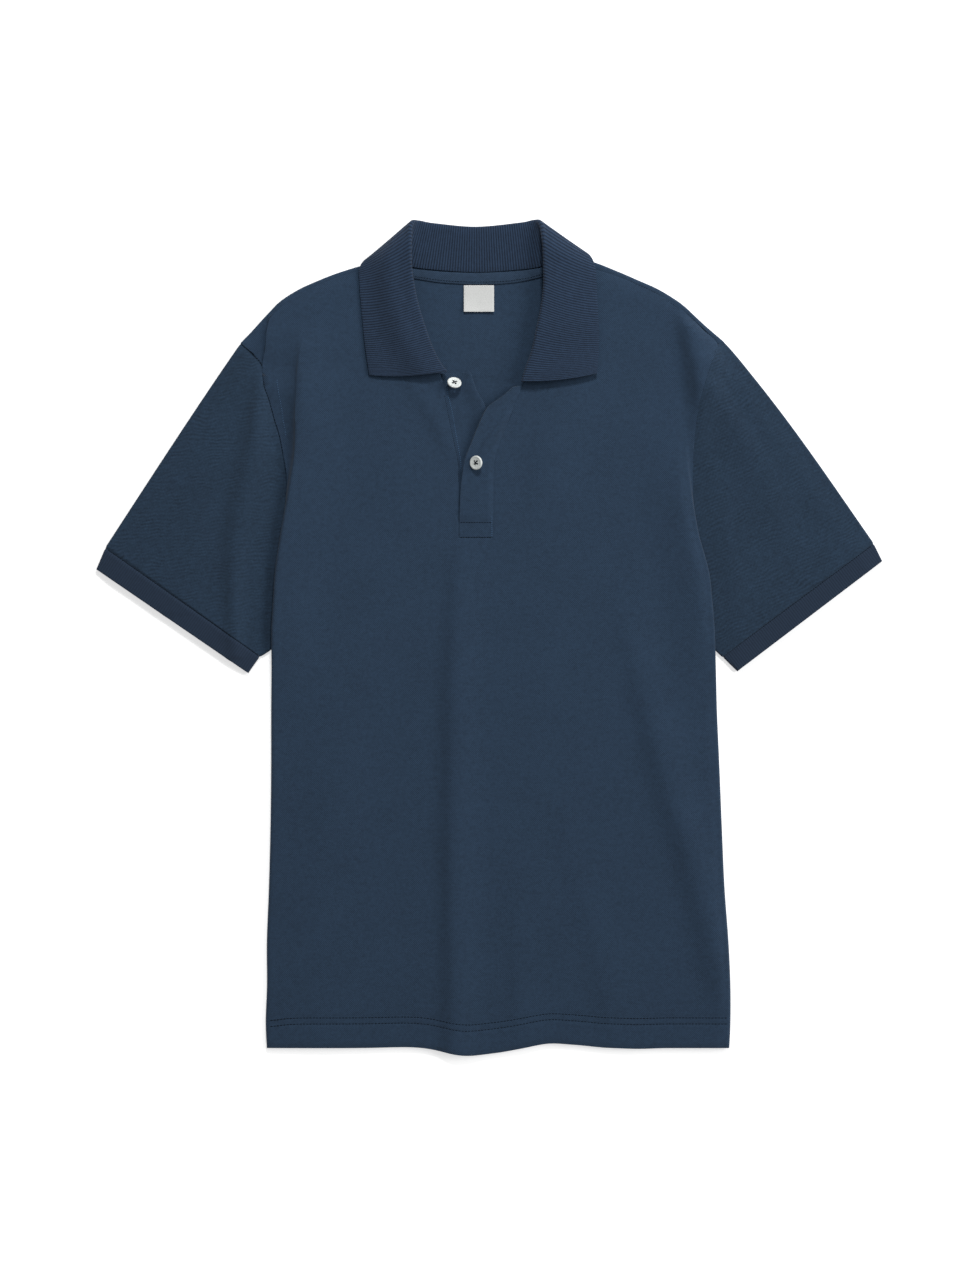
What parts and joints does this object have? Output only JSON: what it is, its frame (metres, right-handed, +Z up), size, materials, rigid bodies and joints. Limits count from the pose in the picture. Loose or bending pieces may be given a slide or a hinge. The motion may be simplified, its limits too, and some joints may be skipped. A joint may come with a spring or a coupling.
{
  "type": "polo shirt",
  "caption": "Short-sleeved polo shirt laid flat and face up, with a folded rib collar, an open neck placket with buttons, rib cuffs and a turned hem.",
  "frame": {"origin": "under the middle of the laid-out shirt, on the surface that it lies on", "axes": "+Z up off the surface, +Y from the hem to the collar, +X from the viewer's left sleeve to the right one"},
  "size_m": [0.7234, 0.7692, 0.0165],
  "materials": {
    "pique": "matt slate-blue pique knit",
    "rib": "matt slate-blue flat rib knit",
    "tape": "matt slate-blue knit tape",
    "label": "off-white satin-woven label",
    "button": "pearl-white gloss with a soft sheen"
  },
  "bodies": {
    "root": {"front": "pique", "back": "pique", "sleeve_left": "pique", "sleeve_right": "pique", "placket_top": "pique", "placket_under": "pique", "cuff_left": "rib", "cuff_right": "rib", "collar": "rib", "neck_tape": "tape", "neck_label": "label", "button_top": "button", "button_lower": "button"}
  },
  "joints": []
}
